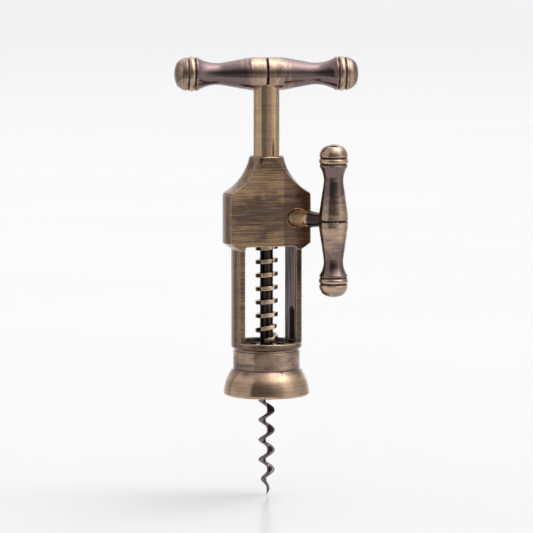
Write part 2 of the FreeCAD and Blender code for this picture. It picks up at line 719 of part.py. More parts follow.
def make_grip(label, prefix, notch_radius, notch_overrun, place, turn):
    """Half of a turned handle: barrel, waist, bead and knob, tapped for its stud."""
    def of(name):
        """Return this handle's own size of that name."""
        return size(f"{prefix}_{name}")

    body = new_body(label, place=place, turn=turn)
    lip_end = of("lip_place") + of("lip_width")
    first_cut = lip_end + of("cut_slope")
    bead_start = first_cut + of("cut_width") + of("cut_slope")
    bead_end = bead_start + of("bead_width")
    second_cut = bead_end + of("cut_slope")
    knob_start = second_cut + of("cut_width") + of("cut_slope")
    cut = of("lip_radius") - of("cut_depth")
    crown_width = of("crown_radius") * of("crown_radius")
    crown_curve = (crown_width + of("crown_rise") * of("crown_rise")) / (of("crown_rise") * 2)
    turned(body, [
        (ZERO, ZERO),
        (of("seam_radius"), ZERO),
        (of("barrel_radius"), of("seam_half")),
        (of("barrel_radius"), of("barrel_half")),
        (of("taper_radius"), of("taper_place"), of("waist_curve"), -1),
        (of("lip_radius"), of("lip_place")),
        (of("lip_radius"), lip_end),
        (cut, first_cut),
        (cut, first_cut + of("cut_width")),
        (of("lip_radius"), bead_start, of("bead_curve"), 1),
        (of("lip_radius"), bead_end),
        (cut, second_cut),
        (cut, second_cut + of("cut_width")),
        (of("knob_radius"), knob_start, of("knob_curve"), 1),
        (of("crown_radius"), of("half") - of("crown_rise"), crown_curve, 1),
        (ZERO, of("half")),
    ])
    hole = new_sketch(body, f"{label}_tapping_outline", "XY_Plane")
    draw_circle(hole, of("stud_radius") + size("seat_clearance"))
    pocket(body, hole, f"{label}_tapping", depth=of("stud_half") + of("stud_end_gap"), reverse=True)
    past = -(notch_overrun + size("seat_clearance"))
    notch = new_sketch(body, f"{label}_notch_outline", "YZ_Plane", place=(ZERO, ZERO, past))
    draw_circle(notch, notch_radius + size("seat_clearance"))
    pocket(body, notch, f"{label}_notch", reverse=True)
    return body


def make_crank_shaft():
    """The crank shaft: rear journal, four-leaved pinion, front journal and tapered end."""
    body = new_body("crank_shaft", place=crank_foot, turn=CRANK_TURN)
    half = size("relief_half")
    shaft_end = size("hub_reach") + size("hub_overrun")
    turned(body, [
        (ZERO, -rear_end),
        (size("rear_radius"), -rear_end),
        (size("rear_radius"), -size("shaft_step")),
        (size("shaft_radius"), -size("shaft_step")),
        (size("shaft_radius"), -half),
        (size("leaf_root"), -half),
        (size("leaf_root"), half),
        (size("shaft_radius"), half),
        (size("shaft_radius"), size("taper_start")),
        (size("hub_radius"), size("taper_start") + size("taper_length")),
        (size("hub_radius"), shaft_end),
        (ZERO, shaft_end),
    ])
    add_leaves(body)
    stud_hole = new_sketch(body, "shaft_stud_hole_outline", "YZ_Plane")
    draw_circle(stud_hole, size("crank_stud_radius") + size("seat_clearance"), up=size("hub_reach"))
    pocket(body, stud_hole, "shaft_stud_hole", both_ways=True)
    tapping = new_sketch(body, "shaft_tapping_outline", "XY_Plane", place=(ZERO, ZERO, -rear_end))
    draw_circle(tapping, size("end_screw_radius") + size("seat_clearance"))
    pocket(body, tapping, "shaft_tapping", depth=size("end_screw_length"), reverse=True)
    return body


def add_leaves(body):
    """Add the pinion's leaves, turned so that one stands in a gap of the rack at rest."""
    half = size("leaf_half")
    gaps_up = whole((size("crank_height") - size("first_ring")) / size("rack_pitch"))
    contact = (crank_offset - pitch_radius + size("rack_radius")) / 2
    mesh_angle = Size(90.0, "90") - size("crank_angle") - size("ring_lean_angle")
    lifted = contact * tangent(size("ring_lean")) * cosine(mesh_angle)
    gap_height = size("first_ring") + size("rack_pitch") * (gaps_up + 0.5) + lifted
    phase = (gap_height - size("crank_height")) / pitch_radius * math.degrees(1.0)
    turn = (-phase, ZERO, ZERO)
    sketch = new_sketch(body, "leaf_outline", "XY_Plane", place=(ZERO, ZERO, -half), turn=turn)
    side = size("leaf_width") / 2
    root = size("leaf_root") / 2
    tip = size("shaft_radius") - size("leaf_setback")
    draw_outline(sketch, [(-side, root), (side, root), (side, tip), (-side, tip)])
    leaf = body.newObject("PartDesign::Pad", "leaf")
    leaf.Profile = sketch
    leaf.setExpression("Length", (half * 2).text)
    doc.recompute()
    leaves = body.newObject("PartDesign::PolarPattern", "leaves")
    leaves.Originals = [leaf]
    leaves.Axis = (sketch, ["N_Axis"])
    leaves.Angle = FULL_TURN
    leaves.setExpression("Occurrences", size("leaf_count").text)
    body.Tip = leaves
    doc.recompute()


def make_end_washer():
    """The washer that keeps the crank shaft from coming out."""
    body = new_body("crank_end_washer", place=crank_foot, turn=CRANK_TURN)
    inner = size("end_screw_radius") + size("seat_clearance")
    low = -(rear_end + size("washer_thickness"))
    turned(body, tube_corners(inner, size("end_washer_radius"), low, -rear_end))
    return body


def make_end_screw():
    """The slotted screw in the crank shaft's rear end."""
    body = new_body("crank_end_screw", place=crank_foot, turn=CRANK_TURN)
    seat = -(rear_end + size("washer_thickness"))
    head = seat - size("end_head_height")
    shank_end = -rear_end + size("end_screw_length") - size("end_slot_width")
    turned(body, [
        (ZERO, head),
        (size("end_head_radius"), head),
        (size("end_head_radius"), seat),
        (size("end_screw_radius"), seat),
        (size("end_screw_radius"), shank_end),
        (ZERO, shank_end),
    ])
    slot = new_sketch(body, "end_slot_outline", "XY_Plane", place=(ZERO, ZERO, head))
    side = size("end_slot_width") / 2
    wide = size("end_head_radius") + size("end_slot_width")
    draw_outline(slot, [(-wide, -side), (wide, -side), (wide, side), (-wide, side)])
    pocket(body, slot, "end_slot", depth=size("end_slot_depth"), reverse=True)
    return body


def make_t_handle():
    """The T-handle: two turned halves on a stud through the rod."""
    axis = (ZERO, ZERO, size("handle_height"))
    quarter = Size(90.0, "90")
    half_turn = Size(180.0, "180")
    notch = (size("rod_head_radius"), size("rod_overrun"))
    yaw = size("handle_yaw")
    return [
        make_grip("t_grip_right", "handle", *notch, axis, (yaw, quarter, ZERO)),
        make_grip("t_grip_left", "handle", *notch, axis, (yaw + half_turn, quarter, ZERO)),
        make_rod_on_x("t_tie_stud", size("handle_stud_radius"), size("handle_stud_half"), axis,
                      (yaw, quarter, ZERO)),
    ]


def make_crank_handle():
    """The crank's handle: two turned halves on a stud through the shaft's end."""
    hub = along_crank(size("hub_reach"))
    half_turn = Size(180.0, "180")
    notch = (size("hub_radius"), size("hub_overrun"))
    return [
        make_grip("crank_grip_upper", "crank", *notch, hub, (crank_yaw, ZERO, ZERO)),
        make_grip("crank_grip_lower", "crank", *notch, hub, (crank_yaw, ZERO, half_turn)),
        make_rod_on_x("crank_tie_stud", size("crank_stud_radius"), size("crank_stud_half"), hub,
                      (ZERO, ZERO, ZERO)),
    ]


def make_boss_pin():
    """The pin across boss and rod."""
    place = (ZERO, ZERO, size("boss_pin_height"))
    turn = (size("handle_yaw"), Size(90.0, "90"), ZERO)
    return make_rod_on_x("worm_boss_pin", size("boss_pin_radius"), size("boss_radius"), place, turn)


def check_objects():
    """Stop if any object of the document failed to build."""
    for item in doc.Objects:
        if "Invalid" in item.State or "Error" in item.State:
            raise ValueError(f"{item.Name} is {item.State}")


def export_parts(parts):
    """Write every sub-part to its own STEP file, once all of them are sound."""
    for part in parts:
        if part.Shape.isNull() or not part.Shape.isValid():
            raise ValueError(f"{part.Label} has no valid shape")
    for part in parts:
        part.Shape.exportStep(f"parts/{part.Label}.step")
        print(part.Label, len(part.Shape.Solids), "solid,", round(part.Shape.Volume, 1), "mm3")


def main():
    """Build every sub-part, check it and write it out."""
    parts = [
        make_frame(),
        make_foot_collar(),
        make_bell_foot(),
        make_rack_sleeve(),
        make_stem_sleeve(),
        make_spindle_rod(),
        make_thrust_washer("upper_thrust_washer", size("stem_bottom") - size("washer_thickness")),
        make_thrust_washer("lower_thrust_washer", size("boss_top")),
        make_worm_boss(),
        make_boss_pin(),
        make_worm(),
        make_crank_shaft(),
        make_end_washer(),
        make_end_screw(),
    ]
    parts += make_t_handle()
    parts += make_crank_handle()
    doc.recompute()
    check_objects()
    export_parts(parts)


main()
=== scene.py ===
"""Rack and pinion bar corkscrew in antique bronze.

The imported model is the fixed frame. Its nodes have the object's true form, so
each of them stays and gets a procedural finish. Round them stand the floor, the
key light, the surroundings that the metal reflects, and the camera. Sizes are in
metres, and the rim of the bell stands at height 0.
"""

import logging
import math
from dataclasses import dataclass, field, replace
from enum import Enum
from typing import Optional, Union

import bpy
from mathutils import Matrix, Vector


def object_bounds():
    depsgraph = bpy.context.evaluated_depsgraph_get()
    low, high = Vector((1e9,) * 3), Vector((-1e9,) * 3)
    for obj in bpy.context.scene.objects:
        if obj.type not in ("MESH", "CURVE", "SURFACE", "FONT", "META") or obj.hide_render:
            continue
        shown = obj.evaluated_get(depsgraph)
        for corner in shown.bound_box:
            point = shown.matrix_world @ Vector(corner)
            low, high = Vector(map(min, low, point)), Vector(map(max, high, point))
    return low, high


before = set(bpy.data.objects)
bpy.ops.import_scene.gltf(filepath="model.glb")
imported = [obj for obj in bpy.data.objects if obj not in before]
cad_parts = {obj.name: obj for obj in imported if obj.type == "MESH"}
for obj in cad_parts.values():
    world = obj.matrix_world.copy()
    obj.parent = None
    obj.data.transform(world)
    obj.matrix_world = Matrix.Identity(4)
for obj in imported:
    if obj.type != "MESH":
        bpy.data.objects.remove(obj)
CAD_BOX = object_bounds()

LOG = logging.getLogger("corkscrew")

Colour = tuple[float, float, float]
Place = tuple[float, float, float]
Range = tuple[float, float]
Node = bpy.types.Node
Socket = bpy.types.NodeSocket
Tree = bpy.types.ShaderNodeTree
Outputs = bpy.types.bpy_prop_collection
Source = Union[Socket, float, tuple]


def direction(azimuth: float, elevation: float) -> Vector:
    """Gives the unit vector to a place round the object.

    Args:
        azimuth: degrees from the front, positive to the right.
        elevation: degrees above the horizon.

    Returns:
        The unit vector from the object to that place.
    """
    turn = math.radians(azimuth)
    rise = math.radians(elevation)
    flat = math.cos(rise)
    return Vector((math.sin(turn) * flat, -math.cos(turn) * flat, math.sin(rise)))


class NodeBench:
    """Adds and joins the nodes of one shader tree."""

    def __init__(self, tree: bpy.types.NodeTree) -> None:
        """Takes the tree to work on.

        Args:
            tree: the node tree of a material, a world or a group.
        """
        self.tree = tree

    def node(self, kind: str, **settings: object) -> Node:
        """Adds one node.

        Args:
            kind: Blender's name of the node type.
            settings: properties to set on it.

        Returns:
            The new node.
        """
        made = self.tree.nodes.new(kind)
        for name, value in settings.items():
            setattr(made, name, value)
        return made

    def feed(self, node: Node, socket: Union[str, int], source: Source) -> None:
        """Links a socket to one input of a node, or sets a plain value on it.

        Args:
            node: the node to feed.
            socket: the name or number of its input.
            source: an output socket, or a value.
        """
        if isinstance(source, Socket):
            self.tree.links.new(source, node.inputs[socket])
        else:
            node.inputs[socket].default_value = source

    def fill(self, node: Node, **sources: Source) -> Node:
        """Feeds several inputs of one node.

        Args:
            node: the node to feed.
            sources: its inputs by name, an underscore standing for a space.

        Returns:
            The node.
        """
        for name, source in sources.items():
            self.feed(node, name.replace("_", " "), source)
        return node

    def step(self, operation: str, a: Source, b: Source = 0.0, clamp: bool = False) -> Socket:
        """Works out one step of arithmetic on two values.

        Args:
            operation: the Math node's operation.
            a: the first value.
            b: the second value.
            clamp: whether the result is kept between 0 and 1.

        Returns:
            The result's socket.
        """
        made = self.node("ShaderNodeMath", operation=operation, use_clamp=clamp)
        self.feed(made, 0, a)
        self.feed(made, 1, b)
        return made.outputs[0]

    def plus(self, a: Source, b: Source) -> Socket:
        """Adds two values."""
        return self.step("ADD", a, b)

    def minus(self, a: Source, b: Source) -> Socket:
        """Takes the second value from the first."""
        return self.step("SUBTRACT", a, b)

    def times(self, a: Source, b: Source) -> Socket:
        """Multiplies two values."""
        return self.step("MULTIPLY", a, b)

    def over(self, a: Source, b: Source) -> Socket:
        """Divides the first value by the second."""
        return self.step("DIVIDE", a, b)

    def larger(self, a: Source, b: Source) -> Socket:
        """Gives the larger of two values."""
        return self.step("MAXIMUM", a, b)

    def radius(self, x: Source, y: Source) -> Socket:
        """Gives the length of two coordinates taken together."""
        return self.step("SQRT", self.plus(self.times(x, x), self.times(y, y)))

    def shake(self, value: Source, noise: Source, amount: float) -> Socket:
        """Moves a value up and down with a noise, by half of the amount at most."""
        return self.plus(value, self.times(self.minus(noise, 0.5), amount))

    def span(
        self,
        value: Source,
        low: Source,
        high: Source,
        to_low: Source = 0.0,
        to_high: Source = 1.0,
        curve: str = "SMOOTHSTEP",
    ) -> Socket:
        """Spreads a value from one range to another.

        Args:
            value: the value to spread.
            low: the value that gives to_low.
            high: the value that gives to_high.
            to_low: the result at low.
            to_high: the result at high.
            curve: how it goes from one to the other, as Blender names it.

        Returns:
            The result's socket.
        """
        made = self.node("ShaderNodeMapRange", interpolation_type=curve)
        self.fill(made, Value=value, From_Min=low, From_Max=high, To_Min=to_low, To_Max=to_high)
        return made.outputs["Result"]

    def past(self, value: Source, edge: float, blur: float) -> Socket:
        """Gives 0 before a soft edge and 1 past it; a negative blur turns them round."""
        return self.span(value, edge - blur / 2, edge + blur / 2)

    def between(self, share: Source, start: Source, end: Source) -> Source:
        """Goes smoothly from one value to another.

        Args:
            share: how far it has gone, from 0 to 1.
            start: the value at 0.
            end: the value at 1.

        Returns:
            The result's socket, or the plain number if it is the same all over.
        """
        if share == 0.0 or start == end:
            return start
        return self.span(share, 0.0, 1.0, start, end)

    def blend(self, share: Source, a: Source, b: Source) -> Socket:
        """Mixes two colours.

        Args:
            share: how much of b shows, from 0 to 1.
            a: the first colour.
            b: the second colour.

        Returns:
            The mixed colour's socket.
        """
        made = self.node("ShaderNodeMix", data_type="RGBA")
        self.feed(made, 0, share)
        self.feed(made, 6, opaque(a))
        self.feed(made, 7, opaque(b))
        return made.outputs[2]

    def noise(self, vector: Source, scale: Source, detail: float = 3.0, twist: float = 0.0) -> Socket:
        """Adds cloudy noise.

        Args:
            vector: where it is read.
            scale: its fineness in cells a metre.
            detail: how many finer layers it has.
            twist: how far the cells are distorted.

        Returns:
            The noise value's socket.
        """
        made = self.node("ShaderNodeTexNoise")
        self.fill(made, Vector=vector, Scale=scale, Detail=detail, Distortion=twist)
        return made.outputs["Fac"]

    def parts(self, vector: Source) -> list[Socket]:
        """Splits a vector into its three coordinates."""
        return list(self.fill(self.node("ShaderNodeSeparateXYZ"), Vector=vector).outputs)

    def join(self, x: Source, y: Source, z: Source) -> Socket:
        """Makes one vector of three coordinates."""
        return self.fill(self.node("ShaderNodeCombineXYZ"), X=x, Y=y, Z=z).outputs[0]

    def dot(self, a: Source, b: Source) -> Socket:
        """Gives the dot product of two vectors.

        Args:
            a: the first vector.
            b: the second vector.

        Returns:
            The result's socket.
        """
        made = self.node("ShaderNodeVectorMath", operation="DOT_PRODUCT")
        self.feed(made, 0, a)
        self.feed(made, 1, b)
        return made.outputs["Value"]


def opaque(colour: Source) -> Source:
    """Gives a plain colour its fourth number, and leaves a socket as it is."""
    return colour if isinstance(colour, Socket) else (*colour, 1.0)


@dataclass(frozen=True)
class Fade:
    """A change along one line, in the polish and in painted shade.

    Attributes:
        ends: where it starts and where it is complete, in metres.
        metal: how far the metal shows at those two places, from 0 to 1; for the legs' inner faces, how
            far the black painted shade covers them.
    """

    ends: Range
    metal: Range = (0.0, 1.0)

    def at(self, bench: NodeBench, place: Source) -> Socket:
        """Gives the share of metal at a place on the line."""
        return bench.span(place, *self.ends, *self.metal)


@dataclass(frozen=True)
class BodyMap:
    """Where the look of the body changes.

    Attributes:
        spot: the middle of a darker patch on the flat, along X and Z, in metres.
        spot_size: half of its width and of its height.
        neck_shade: painted shade on the top of the flat, under the T-handle, along Z.
        sill: the flat's lower edge, along Z.
        right: the flat's right border, along X.
        ring: painted shade on the lower part of the bottom bead, along Z.
        bore_shade: painted shade that blackens the inner faces of the legs away from X = 0.
    """

    spot: Range = (-0.005, 0.0855)
    spot_size: Range = (0.017, 0.0105)
    neck_shade: Fade = Fade((0.1085, 0.1035), (0.45, 1.0))
    sill: Fade = Fade((0.066, 0.072), (0.6, 1.0))
    right: Fade = Fade((0.0058, 0.0070), (1.0, 0.6))
    ring: Fade = Fade((0.0232, 0.0243), (0.3, 1.0))
    bore_shade: Fade = Fade((0.01253, 0.0129))


@dataclass(frozen=True)
class KnobMap:
    """Where the look of a handle's knob changes, along the handle from its lip.

    Attributes:
        grooves: how far the grooves reach, in metres.
        pole: how the bright metal fades towards the pole.
    """

    grooves: float = 0.0055
    pole: Fade = Fade((0.0035, 0.0105), (0.95, 0.55))


@dataclass(frozen=True)
class Ageing:
    """What all finishes have in common.

    Attributes:
        line_stretch: how short the axis looks to the long lines along it.
        line_scale: how fine these lines are, in lines a metre.
        line_cover: the noise values at which a line starts and is full.
        hollow_matt: the roughness that a hollow adds.
        ground_matt: the roughness that a ground face adds.
        inside_matt: the roughness that the inside adds beside a line and on it.
        recess_matt: the roughness added where deep places are painted black as shade.
        speck_depth: the depth of a speck, where the grain's is 1.
    """

    line_stretch: float = 0.04
    line_scale: float = 520.0
    line_cover: Range = (0.38, 0.62)
    hollow_matt: float = 0.2
    ground_matt: float = 0.1
    inside_matt: Range = (0.5, 0.15)
    recess_matt: float = 0.35
    speck_depth: float = 1.5


BODY = BodyMap()
KNOB = KnobMap()
AGEING = Ageing()


class Effect(Enum):
    """The surface effects that the finishes share, each a node group."""

    EDGE_WEAR_GLINT_AND_SHADE = "Worn edges, edge glint and hollow shade"
    TURNING_MARKS = "Turning marks"
    BRUSHING = "Brushing"
    PATINA = "Patina"
    SCRATCHES = "Scratches"
    CRESTS = "Polished crests"
    HANDLE = "Polished handle"
    OUTSIDE = "Polished outside"


class EffectShelf:
    """Builds each shared node group once and hands it out."""

    def __init__(self) -> None:
        """Starts with no group made."""
        self.made: dict[Effect, Tree] = {}

    def place(self, bench: NodeBench, effect: Effect, **inputs: Source) -> Node:
        """Puts one effect into a material.

        Args:
            bench: the material's nodes.
            effect: which effect.
            inputs: its inputs by name.

        Returns:
            The group node.
        """
        if effect not in self.made:
            self.made[effect] = self.build(effect)
        return bench.fill(bench.node("ShaderNodeGroup", node_tree=self.made[effect]), **inputs)

    def build(self, effect: Effect) -> Tree:
        """Makes the node group of one effect.

        Args:
            effect: which effect.

        Returns:
            The new group.
        """
        tree = bpy.data.node_groups.new(effect.value, "ShaderNodeTree")
        wiring = {
            Effect.EDGE_WEAR_GLINT_AND_SHADE: self.edge_wear_glint_and_shade,
            Effect.TURNING_MARKS: self.turning_marks,
            Effect.BRUSHING: self.brushing,
            Effect.PATINA: self.patina,
            Effect.SCRATCHES: self.scratches,
            Effect.CRESTS: self.crests,
            Effect.HANDLE: self.handle,
            Effect.OUTSIDE: self.outside,
        }
        wiring[effect](NodeBench(tree))
        return tree

    @staticmethod
    def sockets(bench: NodeBench, inputs: dict[str, float], outputs: list[str]) -> tuple[Outputs, Node]:
        """Gives a group its Vector input, its number inputs and its outputs.

        Args:
            bench: the group's nodes.
            inputs: the names of the number inputs and their usual values.
            outputs: the names of the outputs; Normal becomes a vector.

        Returns:
            What the group is given, by name, and the node that takes its results.
        """
        interface = bench.tree.interface
        interface.new_socket("Vector", in_out="INPUT", socket_type="NodeSocketVector")
        for name, value in inputs.items():
            made = interface.new_socket(name, in_out="INPUT", socket_type="NodeSocketFloat")
            made.default_value = value
        for name in outputs:
            kind = "NodeSocketVector" if name == "Normal" else "NodeSocketFloat"
            interface.new_socket(name, in_out="OUTPUT", socket_type=kind)
        return bench.node("NodeGroupInput").outputs, bench.node("NodeGroupOutput")

    def edge_wear_glint_and_shade(self, bench: NodeBench) -> None:
        """Finds edges and hollows, and rounds the normal over them. The edges turn bright, partly as
        worn metal and partly as a painted highlight, and the hollows dark, as painted shade.

        Args:
            bench: the group's nodes.
        """
        sizes = {"Width": 0.0003, "Depth": 0.002, "Scale": 900.0}
        given, end = self.sockets(bench, sizes, ["Edge", "Hollow", "Normal"])
        rounded = bench.fill(bench.node("ShaderNodeBevel", samples=6), Radius=given["Width"]).outputs[0]
        facing = bench.node("ShaderNodeNewGeometry").outputs["Normal"]
        bend = bench.span(bench.dot(rounded, facing), 0.997, 0.93)
        shelter = bench.node("ShaderNodeAmbientOcclusion", samples=5, only_local=True)
        shade = bench.fill(shelter, Distance=given["Depth"]).outputs["AO"]
        outside = bench.span(shade, 0.62, 0.9)
        broken = bench.span(bench.noise(given["Vector"], given["Scale"]), 0.3, 0.6, 0.55, 1.0)
        edge = bench.times(bench.times(bend, outside), broken)
        # Hollow, from the ambient occlusion, becomes painted shade in the hollows.
        bench.fill(end, Edge=edge, Hollow=bench.span(shade, 0.95, 0.4), Normal=rounded)

    def turning_marks(self, bench: NodeBench) -> None:
        """Draws the fine rings that a lathe leaves round local Z.

        Args:
            bench: the group's nodes.
        """
        given, end = self.sockets(bench, {"Pitch": 2600.0}, ["Height", "Tone"])
        x, y, z = bench.parts(given["Vector"])
        radius = bench.radius(x, y)
        rings = bench.noise(bench.join(radius, bench.times(x, 0.03), z), given["Pitch"], detail=2.0)
        broad = bench.noise(bench.join(radius, bench.times(y, 0.03), z), 900.0)
        bench.fill(end, Height=rings, Tone=bench.span(broad, 0.3, 0.7))

    def brushing(self, bench: NodeBench) -> None:
        """Draws straight strokes along local X.

        Args:
            bench: the group's nodes.
        """
        given, end = self.sockets(bench, {"Pitch": 3200.0}, ["Height", "Tone"])
        x, y, z = bench.parts(given["Vector"])
        drawn = bench.join(bench.times(x, 0.035), bench.times(y, 0.03), z)
        strokes = bench.noise(drawn, given["Pitch"])
        bands = bench.noise(drawn, 1700.0)
        both = bench.plus(bench.times(strokes, 0.5), bench.times(bands, 0.5))
        bench.fill(end, Height=strokes, Tone=bench.span(both, 0.36, 0.66))

    def patina(self, bench: NodeBench) -> None:
        """Spreads the cloudy tarnish and its small dark specks.

        Args:
            bench: the group's nodes.
        """
        given, end = self.sockets(bench, {"Scale": 90.0}, ["Cloud", "Speck", "Mottle"])
        where = given["Vector"]
        x, y, z = bench.parts(where)
        flattened = bench.join(x, y, bench.times(z, 2.6))
        cloud = bench.noise(flattened, given["Scale"], detail=5.0, twist=0.6)
        speck = bench.noise(where, 1900.0, detail=1.0)
        mottle = bench.noise(where, 650.0, detail=4.0, twist=0.3)
        bench.feed(end, "Cloud", bench.span(cloud, 0.36, 0.68))
        bench.feed(end, "Speck", bench.span(speck, 0.70, 0.77))
        bench.feed(end, "Mottle", bench.span(mottle, 0.25, 0.75))

    def scratches(self, bench: NodeBench) -> None:
        """Draws sparse fine scratches in two crossing directions.

        Args:
            bench: the group's nodes.
        """
        given, end = self.sockets(bench, {"Scale": 160.0}, ["Scratch"])
        where = given["Vector"]
        sparse = bench.span(bench.noise(where, 110.0, detail=2.0), 0.56, 0.62)
        lines = []
        for turn, stretch in (((0.3, 0.9, 0.5), 0.05), ((1.1, -0.4, 1.9), 0.07)):
            laid = bench.node("ShaderNodeMapping")
            bench.fill(laid, Vector=where, Rotation=turn, Scale=(stretch, 1.0, 1.0))
            cells = bench.node("ShaderNodeTexVoronoi", feature="DISTANCE_TO_EDGE")
            bench.fill(cells, Vector=laid.outputs[0], Scale=given["Scale"])
            line = bench.span(cells.outputs["Distance"], 0.012, 0.0)
            lines.append(bench.times(line, sparse))
        bench.fill(end, Scratch=bench.larger(*lines))

    def crests(self, bench: NodeBench) -> None:
        """Finds the thick places of a turned piece, and the deep ones that stay black.

        Args:
            bench: the group's nodes.
        """
        sizes = {"Low": 0.0, "High": 0.001, "Deep": 0.0}
        given, end = self.sockets(bench, sizes, ["Metal", "Inside"])
        x, y, _ = bench.parts(given["Vector"])
        wobble = bench.noise(given["Vector"], 260.0)
        radius = bench.shake(bench.radius(x, y), wobble, 0.0008)
        bench.feed(end, "Metal", bench.span(radius, given["Low"], given["High"]))
        bench.feed(end, "Inside", bench.span(radius, given["Low"], given["Deep"]))

    def handle(self, bench: NodeBench) -> None:
        """Finds the barrel, bead and knob of a turned handle, and its black grooves.

        Args:
            bench: the group's nodes.
        """
        sizes = {"Barrel": 0.006, "Waist": 0.013, "Lip": 0.033, "Groove": 0.0077, "Seam": 0.0006}
        given, end = self.sockets(bench, sizes, ["Metal", "Inside"])
        x, y, z = bench.parts(given["Vector"])
        along = bench.step("ABSOLUTE", z)
        lip = given["Lip"]
        wobble = bench.noise(given["Vector"], 150.0)
        worn = bench.shake(along, wobble, 0.006)
        barrel = bench.span(worn, given["Waist"], given["Barrel"], 0.0, 0.85, curve="LINEAR")
        past = bench.past(bench.minus(along, lip), 0.0, 0.0004)
        knob = bench.times(past, KNOB.pole.at(bench, bench.minus(worn, lip)))
        bench.feed(end, "Metal", bench.larger(barrel, knob))
        sunk = bench.span(bench.minus(bench.radius(x, y), given["Groove"]), 0.0001, -0.00015)
        seam = bench.span(bench.minus(along, given["Seam"]), 0.0, -0.0003)
        ends = bench.past(bench.minus(along, bench.plus(lip, KNOB.grooves)), 0.0, -0.0004)
        cuts = bench.times(bench.times(sunk, past), ends)
        bench.feed(end, "Inside", bench.larger(seam, cuts))

    def outside(self, bench: NodeBench) -> None:
        """Finds the faces that look away from local Z and a darker patch on the ground flat, and lays
        painted shade: less metal on the top of the flat and on the lower part of the bottom bead, and
        black on the inner faces of the legs away from X = 0.

        Args:
            bench: the group's nodes.
        """
        sizes = {"Flat": 0.5, "Turned": 0.5}
        given, end = self.sockets(bench, sizes, ["Metal", "Inside", "Ground", "Recess"])
        x, y, z = bench.parts(given["Vector"])
        facing = bench.node("ShaderNodeTexCoord").outputs["Normal"]
        spoke = bench.node("ShaderNodeVectorMath", operation="NORMALIZE")
        bench.feed(spoke, 0, bench.join(x, y, 0.0))
        away = bench.dot(facing, spoke.outputs[0])
        ground = bench.span(bench.dot(facing, (0.0, -1.0, 0.0)), 0.985, 0.999)
        aside = bench.over(bench.minus(x, BODY.spot[0]), BODY.spot_size[0])
        above = bench.over(bench.minus(z, BODY.spot[1]), BODY.spot_size[1])
        wobble = bench.noise(given["Vector"], 170.0)
        spot = bench.shake(bench.radius(aside, above), wobble, 1.6)
        flat_metal = bench.span(spot, 0.5, 1.35, given["Flat"], 1.0)
        # Less metal on the flat's top, as painted shade under the T-handle, and at its lower edge and
        # its right border.
        for fade, place in ((BODY.neck_shade, z), (BODY.sill, z), (BODY.right, x)):
            flat_metal = bench.times(flat_metal, fade.at(bench, place))
        level = bench.between(ground, given["Turned"], flat_metal)
        # Painted shade: less metal on the lower part of the bottom bead.
        level = bench.times(level, BODY.ring.at(bench, z))
        outer = bench.larger(bench.span(away, -0.05, 0.25), ground)
        inside = bench.minus(1.0, outer)
        # Painted shade: inner faces of the legs away from X = 0 are blackened.
        recess = bench.times(inside, BODY.bore_shade.at(bench, bench.step("ABSOLUTE", x)))
        bench.fill(end, Metal=bench.times(outer, level), Inside=inside, Ground=ground, Recess=recess)


SHELF = EffectShelf()


class Grain(Enum):
    """How a surface was worked."""

    TURNED = Effect.TURNING_MARKS
    BRUSHED = Effect.BRUSHING


@dataclass(frozen=True)
class Bearing:
    """Where a piece's own axis lies, so that its grain follows it.

    Attributes:
        origin: a point on the axis.
        turn: the turn of the local axes in degrees, about X, then Y, then Z.
    """

    origin: Place = (0.0, 0.0, 0.0)
    turn: Place = (0.0, 0.0, 0.0)


UPRIGHT = Bearing()


@dataclass(frozen=True)
class Masks:
    """Where each kind of surface lies on a piece; each a socket or a number.

    Attributes:
        metal: where the plating is rubbed through to the metal; on the body and the crank shaft, part
            of the brown left elsewhere is painted shade.
        inside: where no wheel reached and dark plating is left.
        ground: what is ground flat.
        recess: what lies so deep that it is painted black, as shade.
    """

    metal: Source = 1.0
    inside: Source = 0.0
    ground: Source = 0.0
    recess: Source = 0.0


@dataclass(frozen=True)
class Polish:
    """Where the polishing wheel rubbed the brown plating through to the metal. On the body and the
    crank shaft, part of the brown stands for painted shade.

    Attributes:
        effect: the mask that finds those places; None for all over.
        sizes: the mask's own inputs, by name.
    """

    effect: Optional[Effect] = None
    sizes: tuple[tuple[str, float], ...] = ()

    def masks(self, bench: NodeBench, local: Source) -> Masks:
        """Finds each kind of surface on a piece.

        Args:
            bench: the material's nodes.
            local: the place on the piece.

        Returns:
            The masks.
        """
        if self.effect is None:
            return Masks()
        found = SHELF.place(bench, self.effect, Vector=local, **dict(self.sizes)).outputs
        return Masks(**{socket.name.lower(): socket for socket in found})


def rubbed_handle(barrel: float, waist: float, lip: float, groove: float, seam: float) -> Polish:
    """Gives the polish of a turned handle.

    Args:
        barrel: how far from the middle the barrel is rubbed to the metal.
        waist: how far from the middle the waist starts to stay brown.
        lip: where the bead and the knob start.
        groove: the radius below which a groove past the lip is black.
        seam: half the width of the black seam at the middle.

    Returns:
        The polish.
    """
    sizes = (("Barrel", barrel), ("Waist", waist), ("Lip", lip), ("Groove", groove), ("Seam", seam))
    return Polish(Effect.HANDLE, sizes)


def rubbed_ends(full: float, brown: float) -> Polish:
    """Gives the polish of a plain turned piece that stays brown past some place on its axis.

    Args:
        full: how far from the middle it is rubbed to the metal.
        brown: how far from the middle it starts to stay brown.

    Returns:
        The polish.
    """
    return rubbed_handle(full, brown, lip=1.0, groove=0.0, seam=-0.01)


ALL_OVER = Polish()


@dataclass(frozen=True)
class Surface:
    """The effects that lie on one piece.

    Attributes:
        masks: where each kind of surface lies.
        grain: the outputs of its grain, Height and Tone.
        patina: the outputs of its tarnish, Cloud, Speck and Mottle.
        worn: the outputs of its edge group: Edge, where edges turn bright, partly as worn metal and
            partly as a painted highlight; Hollow, where hollows get painted shade; and Normal.
        scratch: where it is scratched.
        lines: where long lines run along its axis.
    """

    masks: Masks
    grain: Outputs
    patina: Outputs
    worn: Outputs
    scratch: Socket
    lines: Socket


